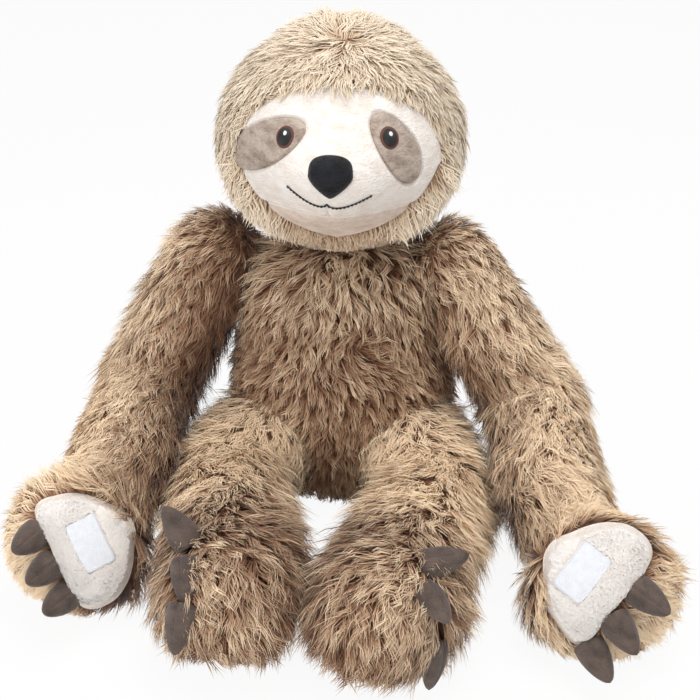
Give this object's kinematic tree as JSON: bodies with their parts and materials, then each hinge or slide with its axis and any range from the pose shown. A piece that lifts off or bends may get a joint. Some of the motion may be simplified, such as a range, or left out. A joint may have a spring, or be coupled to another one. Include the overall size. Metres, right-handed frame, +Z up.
{
  "type": "plush sloth",
  "caption": "Seated long-fur stuffed sloth with a cream face, long arms with open palms that carry fastening tapes, forward legs and soft claws; head, arms and legs turn at their seams.",
  "frame": {"origin": "on the flat underside of the body that it sits on, under the middle of the body", "axes": "+Z up, -Y the way the face looks, +X to the sloth's own left"},
  "size_m": [0.4345, 0.325, 0.351],
  "materials": {
    "brown_fur": "long-pile faux fur, brown at the roots and cream-beige at the tips",
    "hood_fur": "shorter, paler faux fur that lies back from the face",
    "cream_plush": "short napped polyester plush",
    "grey_plush": "short napped plush in grey-beige",
    "claw_plush": "short velour, grey-brown, stuffed firm",
    "black_satin": "black short-nap velour, slightly shiny",
    "black_thread": "embroidery thread",
    "fastening_tape": "white woven hook or loop fastening tape",
    "filling_fibre": "white polyester fibre filling"
  },
  "bodies": {
    "torso": {"torso_cover": "brown_fur", "torso_filling": "filling_fibre"},
    "neck": {"neck_filling": "filling_fibre"},
    "head": {"head_cover": "hood_fur", "head_filling": "filling_fibre", "face_panel": "cream_plush", "chin_panel": "cream_plush", "left_eye_patch": "grey_plush", "right_eye_patch": "grey_plush", "left_eye": "black_thread", "right_eye": "black_thread", "nose": "black_satin", "smile": "black_thread"},
    "left_upper_arm": {"left_upper_arm_cover": "brown_fur", "left_upper_arm_filling": "filling_fibre"},
    "left_forearm": {"left_forearm_cover": "brown_fur", "left_forearm_filling": "filling_fibre", "left_palm_pad": "cream_plush", "left_tape": "fastening_tape", "left_hand_claw_1": "claw_plush", "left_hand_claw_2": "claw_plush", "left_hand_claw_3": "claw_plush"},
    "left_thigh": {"left_thigh_cover": "brown_fur", "left_thigh_filling": "filling_fibre"},
    "left_foot": {"left_foot_cover": "brown_fur", "left_foot_filling": "filling_fibre", "left_foot_claw_1": "claw_plush", "left_foot_claw_2": "claw_plush", "left_foot_claw_3": "claw_plush"},
    "right_upper_arm": {"right_upper_arm_cover": "brown_fur", "right_upper_arm_filling": "filling_fibre"},
    "right_forearm": {"right_forearm_cover": "brown_fur", "right_forearm_filling": "filling_fibre", "right_palm_pad": "cream_plush", "right_tape": "fastening_tape", "right_hand_claw_1": "claw_plush", "right_hand_claw_2": "claw_plush", "right_hand_claw_3": "claw_plush"},
    "right_thigh": {"right_thigh_cover": "brown_fur", "right_thigh_filling": "filling_fibre"},
    "right_foot": {"right_foot_cover": "brown_fur", "right_foot_filling": "filling_fibre", "right_foot_claw_1": "claw_plush", "right_foot_claw_2": "claw_plush", "right_foot_claw_3": "claw_plush"}
  },
  "joints": [
    {"name": "neck_turn", "type": "hinge", "parent": "torso", "child": "neck", "pos_m": [0, 0, 0.197], "axis": [0, 0, 1], "range_deg": [-30, 30], "stiffness_Nm_per_rad": 0.5},
    {"name": "head_nod", "type": "hinge", "parent": "neck", "child": "head", "pos_m": [0, 0, 0.197], "axis": [1, 0, 0], "range_deg": [-10, 10], "stiffness_Nm_per_rad": 2},
    {"name": "left_shoulder", "type": "hinge", "parent": "torso", "child": "left_upper_arm", "pos_m": [0.08, 0, 0.1821], "axis": [-1, 0, 0], "range_deg": [0, 100]},
    {"name": "left_elbow", "type": "hinge", "parent": "left_upper_arm", "child": "left_forearm", "pos_m": [0.15, -0.033, 0.088], "axis": [-1, 0, 0], "range_deg": [0, 40]},
    {"name": "left_hip", "type": "hinge", "parent": "torso", "child": "left_thigh", "pos_m": [0.05, -0.03, 0.045], "axis": [-1, 0, 0], "range_deg": [0, 30]},
    {"name": "left_knee", "type": "hinge", "parent": "left_thigh", "child": "left_foot", "pos_m": [0.08, -0.092, 0.042], "axis": [-1, 0, 0], "range_deg": [0, 30]},
    {"name": "right_shoulder", "type": "hinge", "parent": "torso", "child": "right_upper_arm", "pos_m": [-0.08, 0, 0.1821], "axis": [-1, 0, 0], "range_deg": [0, 100]},
    {"name": "right_elbow", "type": "hinge", "parent": "right_upper_arm", "child": "right_forearm", "pos_m": [-0.152, -0.028, 0.088], "axis": [-1, 0, 0], "range_deg": [0, 40]},
    {"name": "right_hip", "type": "hinge", "parent": "torso", "child": "right_thigh", "pos_m": [-0.05, -0.03, 0.045], "axis": [-1, 0, 0], "range_deg": [0, 30]},
    {"name": "right_knee", "type": "hinge", "parent": "right_thigh", "child": "right_foot", "pos_m": [-0.082, -0.084, 0.042], "axis": [-1, 0, 0], "range_deg": [0, 30]}
  ]
}
